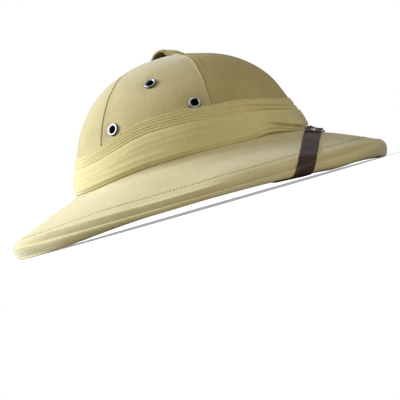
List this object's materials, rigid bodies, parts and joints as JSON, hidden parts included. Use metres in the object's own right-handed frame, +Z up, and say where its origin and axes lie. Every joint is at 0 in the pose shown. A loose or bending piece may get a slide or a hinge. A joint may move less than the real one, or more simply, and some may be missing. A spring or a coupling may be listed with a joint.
{
  "type": "pith helmet",
  "caption": "Cloth-covered pith sun helmet with a wide sloping brim, wrapped cloth band, side vent eyelets, crest loop and a leather chin strap buckled over the front of the brim.",
  "frame": {"origin": "bottom centre of the bounding box, on the plane the rim rests on", "axes": "+X to the front of the hat, +Y to its left side, +Z up"},
  "size_m": [0.3615, 0.2922, 0.1515],
  "materials": {
    "pith": "matt pressed pith",
    "crown_cloth": "matt khaki cotton drill",
    "brim_cloth": "matt khaki cotton drill",
    "band_cloth": "pleated khaki cotton",
    "strap_leather": "smooth dark brown, slightly glossy",
    "nickel": "polished nickel plate"
  },
  "bodies": {
    "root": {"pith_shell": "pith", "crown_gore_front_left": "crown_cloth", "crown_gore_side_left": "crown_cloth", "crown_gore_rear_left": "crown_cloth", "crown_gore_rear_right": "crown_cloth", "crown_gore_side_right": "crown_cloth", "crown_gore_front_right": "crown_cloth", "brim_cover": "brim_cloth", "pugree": "band_cloth", "top_loop": "crown_cloth", "vent_eyelet_left_rear": "nickel", "vent_eyelet_left_top": "nickel", "vent_eyelet_left_front": "nickel", "vent_eyelet_right_rear": "nickel", "vent_eyelet_right_top": "nickel", "vent_eyelet_right_front": "nickel", "chin_strap_right": "strap_leather", "chin_strap_left": "strap_leather", "strap_buckle": "nickel", "strap_rivet_right": "nickel", "strap_rivet_left": "nickel", "anchor_rivet_right": "nickel", "anchor_rivet_left": "nickel"}
  },
  "joints": []
}
